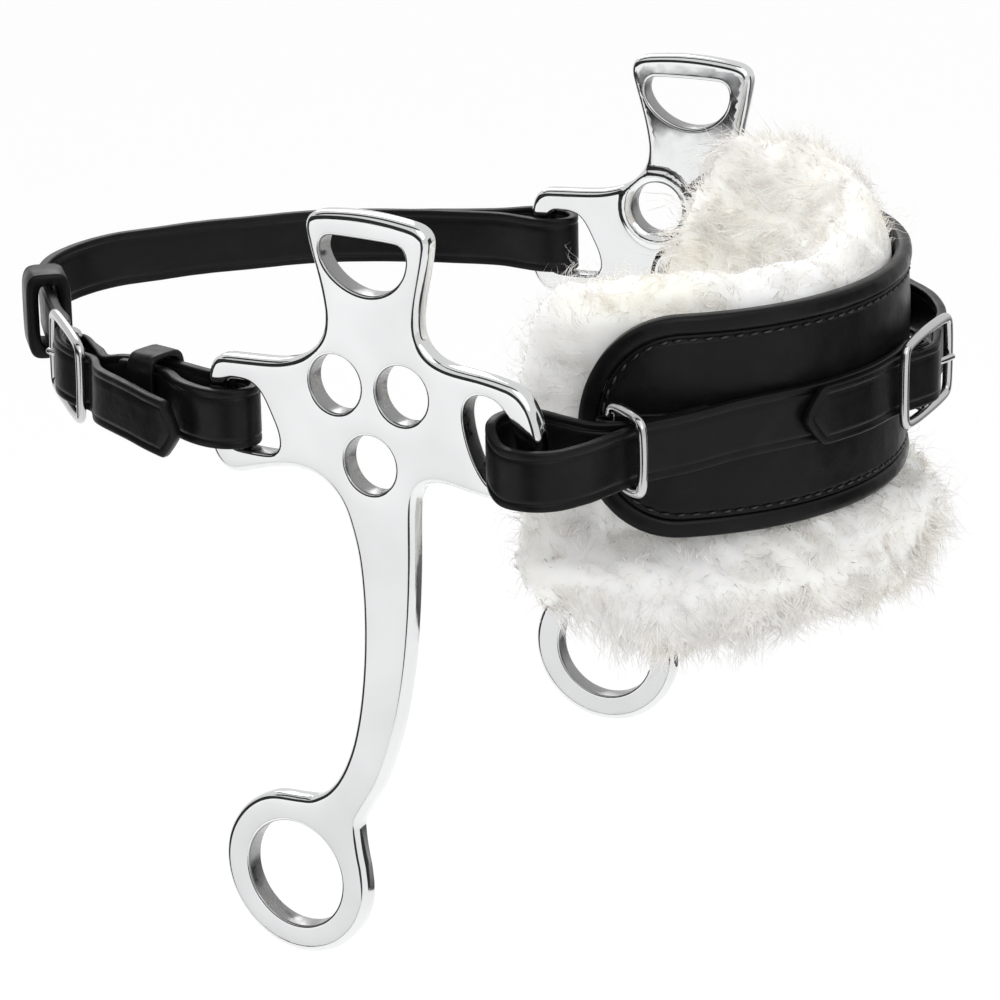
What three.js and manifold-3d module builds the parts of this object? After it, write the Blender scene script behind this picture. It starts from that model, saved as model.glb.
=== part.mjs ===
// Bitless (mechanical) hackamore: two steel cheek plates, a fleece-lined nose pad on a buckled
// noseband strap, and a buckled curb strap behind the jaw.
// Units are millimetres. +X is the horse's left, -Y is forward (towards the nose), +Z is up.
// The origin is the middle of the head opening, level with the cheek plates' arms.
import * as THREE from 'three';
import { mergeVertices } from 'three/addons/utils/BufferGeometryUtils.js';
import Module from 'manifold-3d';

const wasm = await Module();
wasm.setup();

// ---------------------------------------------------------------- driving dimensions

const PLATE = { thickness: 6, halfGap: 91.3, toe: THREE.MathUtils.degToRad(3.9), edge: 0.7 };
const HOLE_RADIUS = 7.6;
const REIN_RING = { y: 27.5, z: -129.5, outer: 22.4, hole: 14.7 };

const STRAP = { thickness: 2.6, skived: 1.5, noseWidth: 15.2, curbWidth: 15.6 };

// The nose pad is a band on an upright cylinder.
const PAD = { centreY: -28, radius: 71, leather: 4, top: 25.5, bottom: -32.4, halfAngle: 76, cornerY: 24 };
const BINDING = { width: 4.6, proud: 0.9, gap: 0.35 };
const FLEECE = { gap: 0.4, innerRadius: 45, top: 33, rearY: -24, fullTop: 6.5, fullBack: 13 };

const BUCKLE = {
  halfHeight: 10.4,
  wire: 1.4,
  centreBar: 1.3,
  barDrop: 3, // the centre bar sits this much nearer the horse than the outer bars
  outerBar: 0.6, // height of the outer bars' centres over the buckle's own plane
};
const SIDE_RING = { wire: 1.35, halfHeight: 9.6, corner: 3.2 };
// half is centre bar to outer bar, along the strap. slope is how much the strap climbs through the buckle.
// under is the way of the chape's under layer out from the centre bar: along, away from the horse, gauge.
const NOSE_BUCKLE = {
  x: 11, y: -104.8, z: -3.2, angle: THREE.MathUtils.degToRad(2.7), side: 1, half: 16, slope: 0,
  under: [[-4.5, -4.6, 1.6], [-9, -4.4, 2], [-16, -4.9, 2.3]], billet: -2.2,
};
const CURB_BUCKLE = {
  x: -71.5, y: 104.5, z: -6.2, angle: THREE.MathUtils.degToRad(48.2), side: -1, half: 13.6, slope: 0.1,
  under: [[-4.5, -5.3, 1.8], [-9, -5.8, 2.6], [-14, -6.1, 2.6]], billet: -2.7,
};

const LAYERS_Z = { pad: -3, ring: -4.9, slot: -1.5, curb: -5 };

// ---------------------------------------------------------------- materials

const finish = (color, roughness, metalness) =>
  new THREE.MeshStandardMaterial({ color, roughness, metalness });
const steel = () => finish(0xd9dadb, 0.12, 1);
const leather = () => finish(0x17171a, 0.5, 0);
const wool = () => finish(0xf1ede6, 0.95, 0);

// ---------------------------------------------------------------- geometry helpers

const point = (x, y, z = 0) => new THREE.Vector3(x, y, z);

// Joins rings of points with the same count into one closed body: a tube with flat ends, or a closed loop.
function loft(rings, closed = false) {
  const count = rings[0].length;
  const positions = rings.flat().flatMap((p) => [p.x, p.y, p.z]);
  const index = [];
  const spans = closed ? rings.length : rings.length - 1;
  for (let i = 0; i < spans; i += 1) {
    const here = i * count;
    const next = ((i + 1) % rings.length) * count;
    for (let j = 0; j < count; j += 1) {
      const k = (j + 1) % count;
      index.push(here + j, here + k, next + j, next + j, here + k, next + k);
    }
  }
  if (!closed) {
    const last = (rings.length - 1) * count;
    for (let j = 1; j < count - 1; j += 1) {
      index.push(0, j + 1, j);
      index.push(last, last + j, last + j + 1);
    }
  }
  const geometry = new THREE.BufferGeometry();
  geometry.setAttribute('position', new THREE.Float32BufferAttribute(positions, 3));
  geometry.setIndex(facesOut(positions, index));
  return geometry;
}

// Keeps triangles that face out of the body, and turns them all round if they face in.
function facesOut(positions, index) {
  const corner = (i) => point(...positions.slice(3 * i, 3 * i + 3));
  let volume = 0;
  for (let i = 0; i < index.length; i += 3) {
    const [a, b, c] = index.slice(i, i + 3).map(corner);
    volume += a.dot(b.cross(c));
  }
  return volume > 0 ? index : index.reverse();
}

// Turns a closed geometry into a solid that can be cut and joined.
function solid(geometry) {
  const bare = geometry.clone();
  bare.deleteAttribute('normal');
  bare.deleteAttribute('uv');
  const merged = mergeVertices(bare, 1e-4);
  return new wasm.Manifold(new wasm.Mesh({
    numProp: 3,
    vertProperties: new Float32Array(merged.attributes.position.array),
    triVerts: new Uint32Array(merged.index.array),
  }));
}

function fromSolid(body) {
  const mesh = body.getMesh();
  const geometry = new THREE.BufferGeometry();
  geometry.setAttribute('position', new THREE.Float32BufferAttribute(mesh.vertProperties, 3));
  geometry.setIndex(new THREE.Uint32BufferAttribute(mesh.triVerts, 1));
  return geometry;
}

const join = (...parts) => fromSolid(parts.map(solid).reduce((a, b) => a.add(b)));
const cut = (body, tool) => fromSolid(solid(body).subtract(solid(tool)));
const common = (a, b) => fromSolid(solid(a).intersect(solid(b)));

// Extrudes an outline drawn in (y, z) along x, centred on x = 0.
function extrudeAcross(shape, width, bevel = 0) {
  const geometry = new THREE.ExtrudeGeometry(shape, {
    depth: width - 2 * bevel,
    bevelEnabled: bevel > 0,
    bevelThickness: bevel,
    bevelSize: bevel,
    bevelOffset: -bevel,
    bevelSegments: 1,
  });
  geometry.translate(0, 0, bevel - width / 2);
  const turned = new THREE.Matrix4().makeBasis(point(0, 1, 0), point(0, 0, 1), point(1, 0, 0));
  return geometry.applyMatrix4(turned);
}

// Round wire along a curve. A closed curve makes a ring with no seam.
function wire(controls, radius, options = {}) {
  const { closed = false, perSpan = 3, sides = 8, up = point(0, 0, 1), taper = () => 1 } = options;
  const curve = new THREE.CatmullRomCurve3(controls, closed, 'centripetal');
  const steps = perSpan * (closed ? controls.length : controls.length - 1);
  const rings = [];
  for (let i = 0; i < (closed ? steps : steps + 1); i += 1) {
    const t = i / steps;
    const tangent = curve.getTangent(t);
    const across = up.clone().cross(tangent).normalize();
    const over = tangent.clone().cross(across);
    const centre = curve.getPoint(t);
    const r = radius * taper(t);
    rings.push(Array.from({ length: sides }, (_, j) => {
      const a = (2 * Math.PI * j) / sides;
      return centre.clone().addScaledVector(across, r * Math.cos(a)).addScaledVector(over, r * Math.sin(a));
    }));
  }
  return loft(rings, closed);
}

// A flat leather strap on edge. Each control is [x, y, z of its middle, thickness, slope].
// Where the strap slopes along leanAngle, its section leans with it.
function strap(controls, width, { perSpan = 4, tip = 0, leanAngle = 0 } = {}) {
  const places = controls.map(([x, y, z]) => point(x, y, z));
  const centre = new THREE.CatmullRomCurve3(places, false, 'centripetal');
  const gauge = new THREE.CatmullRomCurve3(controls.map((c) => point(c[3] ?? STRAP.thickness, c[4] ?? 0, 0)));
  const steps = perSpan * (controls.length - 1);
  const start = point(...controls[0].slice(0, 3));
  const rings = [];
  for (let i = 0; i <= steps; i += 1) {
    const t = i / steps;
    const p = centre.getPoint(t);
    const tangent = centre.getTangent(t).setZ(0).normalize();
    const side = point(-tangent.y, tangent.x);
    const fromTip = Math.min(1, p.distanceTo(start) / (tip || 1e-6));
    const rounded = tip ? 0.3 + 0.7 * Math.sqrt(1 - (1 - fromTip) ** 2) : 1;
    const h = (width / 2) * rounded;
    const g = gauge.getPoint(t).x / 2;
    const slope = gauge.getPoint(t).y;
    const over = point(-slope * Math.cos(leanAngle), -slope * Math.sin(leanAngle), 1);
    rings.push([[-g, -h], [-g, h], [g, h], [g, -h]].map(
      ([across, up]) => p.clone().addScaledVector(side, across).addScaledVector(over, up),
    ));
  }
  return loft(rings);
}

// A point on or outside the pad's cylinder: degrees from straight ahead, positive to +X.
function onPad(degrees, radius) {
  const a = THREE.MathUtils.degToRad(degrees);
  return [radius * Math.sin(a), PAD.centreY - radius * Math.cos(a)];
}

// A point beside a buckle: s along the strap towards the buckle's free bar, h away from the horse.
function atBuckle(buckle, s, h) {
  const c = Math.cos(buckle.angle);
  const n = Math.sin(buckle.angle);
  return [buckle.x + s * c + buckle.side * h * n, buckle.y + s * n - buckle.side * h * c];
}

const mirrored = (controls) => controls.map(([x, ...rest]) => [-x, ...rest]);

// ---------------------------------------------------------------- cheek plate

// Outline in (y, z): rear is +y. Drawn clockwise from the rear end of the crowned top edge.
function plateOutline() {
  const { y, z, outer } = REIN_RING;
  const path = new THREE.Path();
  path.moveTo(13, 51.9);
  path.quadraticCurveTo(0, 53.8, -13.5, 51.6);
  path.quadraticCurveTo(-19, 50.6, -18.2, 45.5);
  path.bezierCurveTo(-17.2, 38, -14.6, 31, -14.9, 25.5);
  path.bezierCurveTo(-15.4, 18.5, -21.5, 17, -28, 16.6);
  path.quadraticCurveTo(-36, 16.1, -41.5, 14.8);
  path.bezierCurveTo(-47.5, 13.4, -50.4, 4, -50.2, -4);
  path.bezierCurveTo(-50, -12, -47, -15.8, -40, -15.8);
  path.quadraticCurveTo(-33, -15.6, -25, -14.2);
  path.bezierCurveTo(-16, -12.8, -12.7, -16, -12.5, -23);
  path.bezierCurveTo(-12, -55, -9.5, -88, 7.2, -111.5);
  path.quadraticCurveTo(7.6, -115, y - outer * Math.cos(0.25), z + outer * Math.sin(0.25));
  path.absarc(y, z, outer, Math.PI - 0.25, Math.PI * 2 + 1.66, false);
  path.bezierCurveTo(17, -107.5, 11.5, -99, 8.2, -88);
  path.bezierCurveTo(4, -74, 1.6, -42, 7.6, -27.6);
  path.bezierCurveTo(9.5, -22, 14, -16.6, 23, -16.8);
  path.bezierCurveTo(30, -17, 36, -19.9, 41.5, -20.8);
  path.bezierCurveTo(46, -21.4, 49.6, -17, 49.9, -11);
  path.quadraticCurveTo(50.6, -4, 49.6, 2);
  path.bezierCurveTo(49, 8.5, 46.5, 10.3, 42, 10.3);
  path.quadraticCurveTo(36, 10.3, 30, 11.1);
  path.bezierCurveTo(22, 11.8, 12.6, 15.5, 12.9, 25);
  path.bezierCurveTo(13.2, 32, 16.3, 40, 17.6, 45.8);
  path.quadraticCurveTo(18.6, 51, 13, 51.9);
  return path;
}

// D slot for the headstall: straight along the top, round below.
function headstallSlot() {
  const path = new THREE.Path();
  path.moveTo(9.5, 46.2);
  path.lineTo(-8.5, 46.2);
  path.quadraticCurveTo(-12.4, 46, -12, 41.5);
  path.bezierCurveTo(-11.5, 36, -6, 32.1, -0.2, 32.1);
  path.bezierCurveTo(6, 32.1, 12.4, 36.5, 13.4, 41.5);
  path.quadraticCurveTo(13.6, 46.2, 9.5, 46.2);
  return path;
}

// Slot in the rear arm, wide at the bottom, for the curb strap.
function curbSlot() {
  const path = new THREE.Path();
  path.moveTo(41, 4.2);
  path.lineTo(37, 4.2);
  path.bezierCurveTo(33, 4.2, 31, -1.5, 29.5, -4.3);
  path.bezierCurveTo(27.5, -8, 25.8, -14.1, 31.5, -14.2);
  path.lineTo(40, -14.2);
  path.quadraticCurveTo(43.6, -14.2, 43.6, -10.5);
  path.lineTo(43.6, 1);
  path.quadraticCurveTo(43.6, 4.2, 41, 4.2);
  return path;
}

// Slot in the front arm, wide at the top, for the noseband strap.
function noseSlot() {
  const path = new THREE.Path();
  path.moveTo(-33.8, 11.3);
  path.bezierCurveTo(-29, 11.3, -27.2, 7.5, -28.2, 2.5);
  path.bezierCurveTo(-29, -2, -31, -8, -34.5, -11);
  path.quadraticCurveTo(-36, -12, -40, -12);
  path.quadraticCurveTo(-43.6, -12, -43.6, -8);
  path.bezierCurveTo(-43.6, 3, -40.5, 11.3, -33.8, 11.3);
  return path;
}

function cheekPlate() {
  const shape = new THREE.Shape(plateOutline().getPoints(6));
  const slots = [headstallSlot(), curbSlot(), noseSlot()];
  const rounds = [[10, 7.7], [-9.9, 7.7], [0, -12]].map(([y, z]) => [y, z, HOLE_RADIUS]);
  rounds.push([REIN_RING.y, REIN_RING.z, REIN_RING.hole]);
  const circles = rounds.map(([y, z, r]) => new THREE.Path().absarc(y, z, r, 0, Math.PI * 2, true));
  shape.holes = [
    ...slots.map((path) => new THREE.Path(path.getPoints(5))),
    ...circles.map((path) => new THREE.Path(path.getPoints(12))),
  ];
  return extrudeAcross(shape, PLATE.thickness, PLATE.edge);
}

// ---------------------------------------------------------------- nose pad

// Upright band of the pad's cylinder, from one radius to another.
function band(inner, outer, bottom, top, halfAngle, segments) {
  const half = THREE.MathUtils.degToRad(halfAngle);
  const shape = new THREE.Shape();
  for (let i = 0; i <= segments; i += 1) {
    const a = -half + (2 * half * i) / segments;
    shape.lineTo(outer * Math.sin(a), PAD.centreY - outer * Math.cos(a));
  }
  for (let i = segments; i >= 0; i -= 1) {
    const a = -half + (2 * half * i) / segments;
    shape.lineTo(inner * Math.sin(a), PAD.centreY - inner * Math.cos(a));
  }
  const geometry = new THREE.ExtrudeGeometry(shape, { depth: top - bottom, bevelEnabled: false });
  geometry.translate(0, 0, bottom);
  return geometry;
}

// Side view of the pad in (y, z): straight along the top and bottom, a half ellipse at the rear end.
// inset shrinks it on every side.
function padProfile(inset) {
  const end = PAD.centreY - PAD.radius * Math.cos(THREE.MathUtils.degToRad(PAD.halfAngle)) - inset * 0.97;
  const middle = (PAD.top + PAD.bottom) / 2;
  const tall = (PAD.top - PAD.bottom) / 2 - inset;
  const front = PAD.centreY - PAD.radius - 20;
  const shape = new THREE.Shape();
  shape.moveTo(front, middle - tall);
  shape.lineTo(end - PAD.cornerY, middle - tall);
  shape.absellipse(end - PAD.cornerY, middle, PAD.cornerY, tall, -Math.PI / 2, Math.PI / 2, false, 0);
  shape.lineTo(front, middle + tall);
  return extrudeAcross(new THREE.Shape(shape.getPoints(8)), 4 * PAD.radius);
}

function padLeather() {
  const inner = PAD.radius - PAD.leather;
  const shell = band(inner, PAD.radius, PAD.bottom - 5, PAD.top + 5, PAD.halfAngle + 2, 36);
  return common(shell, padProfile(BINDING.width + BINDING.gap));
}

// Rolled leather edge all the way round the pad.
function padBinding() {
  const outer = PAD.radius + BINDING.proud;
  const shell = band(PAD.radius - PAD.leather, outer, PAD.bottom - 5, PAD.top + 5, PAD.halfAngle + 2, 36);
  return cut(common(shell, padProfile(0)), padProfile(BINDING.width));
}

// Sheepskin lining: fills the band inside the leather and curls out below it.
function padFleece() {
  const outer = PAD.radius - PAD.leather - FLEECE.gap;
  const profile = new THREE.SplineCurve([
    [FLEECE.innerRadius, -10], [FLEECE.innerRadius, 14], [49, 27], [58, FLEECE.top], [outer - 1, 28],
    [outer, 22],
  ].map(([r, z]) => new THREE.Vector2(r, z))).getPoints(9);
  const curl = new THREE.SplineCurve([
    [outer - 0.4, -26], [outer - 0.2, -32], [69, -36], [76, -38], [81, -44], [80, -54], [71, -61], [60, -60],
    [49, -48],
    [FLEECE.innerRadius, -30],
  ].map(([r, z]) => new THREE.Vector2(r, z))).getPoints(14);
  const section = [...profile, ...curl, profile[0]].reverse();
  const ring = new THREE.LatheGeometry(section, 56);
  ring.rotateX(Math.PI / 2);
  ring.translate(0, PAD.centreY, 0);
  const side = new THREE.Shape();
  side.moveTo(-140, -80);
  side.lineTo(-72, -80);
  side.bezierCurveTo(-66, -58, -40, -50, -31, -43);
  side.quadraticCurveTo(-20, -33, FLEECE.rearY, -12);
  side.quadraticCurveTo(FLEECE.rearY - 1, 24, -38, 40);
  side.lineTo(-140, 40);
  return fullerAtLeft(common(ring, extrudeAcross(new THREE.Shape(side.getPoints(8)), 4 * PAD.radius)));
}

// The lining stands higher and reaches further back on the left side of the head.
function fullerAtLeft(geometry) {
  const { smoothstep } = THREE.MathUtils;
  const position = geometry.getAttribute('position');
  for (let i = 0; i < position.count; i += 1) {
    const [x, y, z] = [position.getX(i), position.getY(i), position.getZ(i)];
    const left = smoothstep(x, 5, 58);
    const low = smoothstep(z, -60, -30) * (1 - smoothstep(z, 4, 36));
    const back = FLEECE.fullBack * left * smoothstep(y, -52, -24) * low;
    const lift = FLEECE.fullTop * left * smoothstep(z, 12, FLEECE.top);
    position.setXYZ(i, x, y + back, z + lift);
  }
  return geometry;
}

// Wire ring at the end of the pad, hinged on its inner leg. side is -1 at right, 1 at left.
const RING_INNER = onPad(69, 74.8);
const RING_OUTER = [79.8, -68.6];

function sideRing(side) {
  const { wire: r, halfHeight: h, corner: c } = SIDE_RING;
  const [x0, y0] = RING_INNER;
  const [x1, y1] = RING_OUTER;
  const long = Math.hypot(x1 - x0, y1 - y0);
  const outline = [
    [0, -h + c], [0, h - c], [c * 0.3, h - c * 0.3], [c, h], [long - c, h], [long - c * 0.3, h - c * 0.3],
    [long, h - c], [long, -h + c], [long - c * 0.3, -h + c * 0.3], [long - c, -h], [c, -h],
    [c * 0.3, -h + c * 0.3],
  ];
  const controls = outline.map(([s, v]) => point(
    side * (x0 + (s / long) * (x1 - x0)), y0 + (s / long) * (y1 - y0), v + LAYERS_Z.ring,
  ));
  const up = point(side * (y1 - y0), x0 - x1, 0).normalize();
  return wire(controls, r, { closed: true, perSpan: 2, up });
}

// Thin leather tab that holds the ring's inner leg on the pad.
function ringTab(side) {
  const around = [
    [57, 71.9], [63, 71.9], [67.3, 71.9], [69.4, 72.1], [70.9, 73.1], [71.3, 74.8], [70.5, 76.5],
    [68.8, 77.4],
    [66, 77], [62.5, 76],
  ];
  const controls = around.map(([angle, radius]) => [...onPad(side * angle, radius), LAYERS_Z.ring, 1.2]);
  return strap(controls, 12, { perSpan: 2 });
}

// ---------------------------------------------------------------- straps

// Wraps a strap's end round a buckle's centre bar: the skived end, the turn and the under layer.
function chapeTurn(buckle) {
  const thin = STRAP.skived;
  const path = [
    [-8, -2, thin], [-4, -0.8, thin], [0, 0.15, thin], [1.9, -0.6, thin], [2.65, -2.4, thin],
    [1.9, -4.2, thin],
    [0, -5, thin], ...buckle.under,
  ];
  return path.map(([s, h, t]) => [...atBuckle(buckle, s, h), buckle.z + s * buckle.slope, t, buckle.slope]);
}

// The way a strap takes through a buckle, from the chape's side to the free bar's side.
function throughBuckle(buckle) {
  const { half, slope, billet } = buckle;
  const path = [[-half, billet, 2.2], [-8, 0.6, 2.4], [0, 2.5, 2.4], [7, 0.8, 2.4], [half, -2.7, 2.4]];
  return path.map(([s, h, t]) => [...atBuckle(buckle, s, h), buckle.z + s * slope, t, slope]);
}

// Opening for the buckle's prong: an upright box beside the centre bar.
function prongSlot(buckle, s, length, height) {
  const box = new THREE.BoxGeometry(length, 16, height);
  box.rotateZ(buckle.angle);
  const [x, y] = atBuckle(buckle, s, 0);
  return box.translate(x, y, buckle.z + s * buckle.slope);
}

// From the pad's side ring, round the plate's front bar and back into the ring. For the +X side.
function nosebandLoop() {
  const { ring, slot } = LAYERS_Z;
  return [
    [...onPad(63, 84), ring], [84.5, -63.4, ring], [94, -60, ring - 0.5], [101, -55, ring - 1],
    [104.3, -48.5, ring - 0.9], [103.6, -42, ring - 0.3], [99.8, -37.4, slot - 0.9], [94, -36, slot],
    [88.2, -37.4, slot], [84.8, -42, slot - 0.3], [83.4, -48.5, slot - 1.4], [80.7, -55.2, ring + 0.5],
    [76.2, -60.9, ring], [...onPad(60.5, 80), ring], [...onPad(54, 75.8), ring + 0.6],
    [...onPad(50, 73.9), ring + 1],
  ];
}

function noseStrapRight() {
  const { pad, ring } = LAYERS_Z;
  const onPadRun = [
    [-12, 73.2, pad], [-24, 73.6, pad], [-36, 74, pad], [-46, 75.4, pad - 0.6], [-55, 79.6, ring + 0.7],
  ].map(([angle, radius, z]) => [...onPad(angle, radius), z]);
  const run = [...chapeTurn(NOSE_BUCKLE), ...onPadRun, ...mirrored(nosebandLoop())];
  return cut(strap(run, STRAP.noseWidth, { perSpan: 3 }), prongSlot(NOSE_BUCKLE, 0, 7.4, 4.2));
}

function noseStrapLeft() {
  const { pad, ring } = LAYERS_Z;
  const tip = [[-31, 76.9], [-24, 76.7], [-14, 76.3]]
    .map(([angle, radius]) => [...onPad(angle, radius), pad, 2.4]);
  const bulge = [[29, 80, pad], [41, 80.8, pad], [53, 81.8, ring + 0.8]].map(
    ([angle, radius, z]) => [...onPad(angle, radius), z],
  );
  const run = [...tip, ...throughBuckle(NOSE_BUCKLE), ...bulge, ...nosebandLoop()];
  return cut(strap(run, STRAP.noseWidth, { perSpan: 3, tip: 9 }), prongSlot(NOSE_BUCKLE, 8.2, 7.4, 4));
}

// Round a plate's rear bar, inner layer first, for the +X side.
function rearBarTurn() {
  return [[82.3, 50], [82.3, 43.5], [84.6, 38.9], [88.4, 37.4], [92.4, 39], [94.9, 44], [94.4, 50.5]].map(
    ([x, y]) => [x, y, LAYERS_Z.curb - 0.6],
  );
}

function curbLongStrap() {
  const z = LAYERS_Z.curb;
  const gauge = STRAP.thickness;
  const tip = [
    [-99, 53.4, z - 5, gauge, 0.14], [-97.3, 61, z - 4, gauge, 0.13], [-94.2, 69, z - 3.3, gauge, 0.12],
    [-90.4, 77.3, z - 2.9, gauge, 0.1], [-85.6, 86.2, z - 2.7, gauge, 0.1],
  ];
  const back = [
    [-51.5, 121.6], [-40.5, 131], [-29.5, 140.4], [-19, 147.8], [-7, 151.2], [6, 150.2], [17.6, 145.6],
    [30.2, 136.7],
    [42, 126.8], [54, 114.8], [62.5, 104.6], [69, 93], [74.3, 80.5], [78.6, 68], [81.2, 58],
  ].map(([x, y], i) => [x, y, z, STRAP.thickness, i < 1 ? 0.05 : 0]);
  const end = [[89.6, 61], [84.4, 71], [79.4, 81], [75.4, 89.4]].map(([x, y]) => [x, y, z - 1.2]);
  const run = [...tip, ...throughBuckle(CURB_BUCKLE), ...back, ...rearBarTurn(), ...end];
  const whole = strap(run, STRAP.curbWidth, { perSpan: 3, tip: 7, leanAngle: CURB_BUCKLE.angle });
  return cut(whole, prongSlot(CURB_BUCKLE, 8.2, 7.4, 4));
}

function curbBuckleStrap() {
  const z = LAYERS_Z.curb;
  const inner = [[-77.2, 84, z - 1.6], [-76.9, 75, z - 1.2], [-78.5, 66, z - 0.8], [-81, 57, z - 0.6]];
  const outer = [[-91.4, 57.4, z - 0.6], [-86.6, 63.2, z - 0.8], [-83.4, 69.2, z - 1], [-81.5, 76, z - 1.2],
    [-80.9, 82, z - 1.4]];
  const run = [...chapeTurn(CURB_BUCKLE), ...inner, ...mirrored(rearBarTurn()), ...outer];
  const body = strap(run, STRAP.curbWidth, { perSpan: 3, leanAngle: CURB_BUCKLE.angle });
  return cut(body, prongSlot(CURB_BUCKLE, 0, 7.4, 4.2));
}

// Leather loop round a strap: half sizes of its opening, its gauge and its length along the strap.
function keeper(halfDepth, halfHeight, gauge, length) {
  const round = (grow) => {
    const path = new THREE.Path();
    const steps = 28;
    for (let i = 0; i < steps; i += 1) {
      const a = (2 * Math.PI * i) / steps;
      const c = Math.cos(a);
      const s = Math.sin(a);
      const flat = (v) => Math.sign(v) * Math.abs(v) ** 0.35;
      path[i ? 'lineTo' : 'moveTo']((halfDepth + grow) * flat(c), (halfHeight + grow) * flat(s));
    }
    return path.getPoints();
  };
  const shape = new THREE.Shape(round(gauge));
  shape.holes = [new THREE.Path(round(0))];
  return extrudeAcross(shape, length);
}

// ---------------------------------------------------------------- buckle

// In the buckle's own space: x along the strap towards the free bar, y away from the horse, z up.
function buckleFrame(l) {
  const { halfHeight: h, wire: r, centreBar, barDrop, outerBar } = BUCKLE;
  const c = 3.4;
  const outline = [
    [-l, -h + c], [-l, h - c], [-l + c * 0.3, h - c * 0.3], [-l + c, h], [l - c, h],
    [l - c * 0.3, h - c * 0.3],
    [l, h - c], [l, -h + c], [l - c * 0.3, -h + c * 0.3], [l - c, -h], [-l + c, -h],
    [-l + c * 0.3, -h + c * 0.3],
  ];
  const corners = outline.map(([s, v]) => point(s, outerBar, v));
  const frame = wire(corners, r, { closed: true, perSpan: 2, up: point(0, 1, 0) });
  const dropped = outerBar - barDrop;
  const rise = [
    [outerBar, -h], [dropped + 0.4, -h + 1.4], [dropped, -h + 3], [dropped, 0], [dropped, h - 3],
    [dropped + 0.4, h - 1.4], [outerBar, h],
  ];
  const bar = wire(rise.map(([y, z]) => point(0, y, z)), centreBar, { up: point(1, 0, 0) });
  return join(frame, bar);
}

function buckleProng(l) {
  const { centreBar, barDrop, outerBar, wire: r } = BUCKLE;
  const drop = outerBar - barDrop;
  const [inner, outer, half] = [centreBar + 0.25, centreBar + 1.25, 1.4];
  const eye = new THREE.LatheGeometry([
    new THREE.Vector2(inner, -half), new THREE.Vector2(outer, -half), new THREE.Vector2(outer, half),
    new THREE.Vector2(inner, half), new THREE.Vector2(inner, -half),
  ], 20);
  eye.rotateX(Math.PI / 2);
  eye.translate(0, drop, 0);
  const rest = outerBar + r + 0.7;
  const path = [
    [inner + 0.5, drop], [5.5, drop + 1.3], [9.5, drop + 3.6], [l - 2.6, rest - 0.3], [l - 1.4, rest],
  ];
  const shank = wire(path.map(([x, y]) => point(x, y, 0)), 1.05, { taper: (t) => 1 - 0.2 * t });
  return join(eye, shank);
}

// ---------------------------------------------------------------- assembly

const hackamore = new THREE.Group();
hackamore.name = 'bitless_hackamore';

function add(name, geometry, material, parent = hackamore) {
  const mesh = new THREE.Mesh(geometry, material);
  mesh.name = name;
  parent.add(mesh);
  return mesh;
}

for (const [name, side] of [['right', -1], ['left', 1]]) {
  const plate = add(`${name}_cheek_plate`, cheekPlate(), steel());
  plate.position.x = side * PLATE.halfGap;
  plate.rotation.z = side * PLATE.toe;
  add(`${name}_side_ring`, sideRing(side), steel());
  add(`${name}_ring_tab`, ringTab(side), leather());
}

add('pad_leather', padLeather(), leather());
add('pad_binding', padBinding(), leather());
add('pad_fleece', padFleece(), wool());
add('nose_strap_right', noseStrapRight(), leather());
add('nose_strap_left', noseStrapLeft(), leather());
add('curb_long_strap', curbLongStrap(), leather());
add('curb_buckle_strap', curbBuckleStrap(), leather());

for (const [name, buckle] of [['nose', NOSE_BUCKLE], ['curb', CURB_BUCKLE]]) {
  const place = new THREE.Group();
  place.position.set(buckle.x, buckle.y, buckle.z);
  place.rotation.set(0, -Math.atan(buckle.slope), buckle.angle, 'ZYX');
  place.scale.y = -buckle.side;
  add(`${name}_buckle_frame`, buckleFrame(buckle.half), steel(), place);
  add(`${name}_buckle_prong`, buckleProng(buckle.half), steel(), place);
  hackamore.add(place);
}

const wideKeeper = add('curb_wide_keeper', keeper(2.8, 8.6, 3.4, 12), leather());
wideKeeper.position.set(-35.2, 136, LAYERS_Z.curb);
wideKeeper.rotation.z = THREE.MathUtils.degToRad(40.5);
const chapeKeeper = add('curb_chape_keeper', keeper(4.8, 9.2, 1.8, 9), leather());
chapeKeeper.position.set(-80.2, 71.6, LAYERS_Z.curb - 1);
chapeKeeper.rotation.z = Math.PI / 2 - 0.22;

export default hackamore;
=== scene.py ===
import math

import bmesh
import bpy
import numpy as np
from mathutils import Matrix, Vector
from mathutils.geometry import delaunay_2d_cdt


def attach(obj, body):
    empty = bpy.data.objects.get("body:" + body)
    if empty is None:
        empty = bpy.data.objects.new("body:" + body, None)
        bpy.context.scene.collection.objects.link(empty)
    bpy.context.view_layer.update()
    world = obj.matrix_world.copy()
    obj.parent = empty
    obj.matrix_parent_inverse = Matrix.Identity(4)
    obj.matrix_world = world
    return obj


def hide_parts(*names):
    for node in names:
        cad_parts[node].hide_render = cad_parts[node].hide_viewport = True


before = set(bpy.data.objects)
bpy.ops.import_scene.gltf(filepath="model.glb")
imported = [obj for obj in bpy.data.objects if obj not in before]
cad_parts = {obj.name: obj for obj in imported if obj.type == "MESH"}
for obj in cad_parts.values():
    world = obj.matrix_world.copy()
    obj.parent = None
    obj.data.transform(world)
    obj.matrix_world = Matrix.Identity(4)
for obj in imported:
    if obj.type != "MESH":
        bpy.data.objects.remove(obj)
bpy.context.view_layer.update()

MM = 0.001
scene = bpy.context.scene

# ------------------------------ camera, floor and light

# places in millimetres, lens and sensor in the camera's own millimetres
CAMERA = {
    "place": (-949.8, -502.1, 324.9), "target": (-20.0, 3.7, -45.1), "roll": math.radians(-1.06),
    "lens": 151.2, "sensor": 36, "clip_start": 0.01,
}

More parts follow.
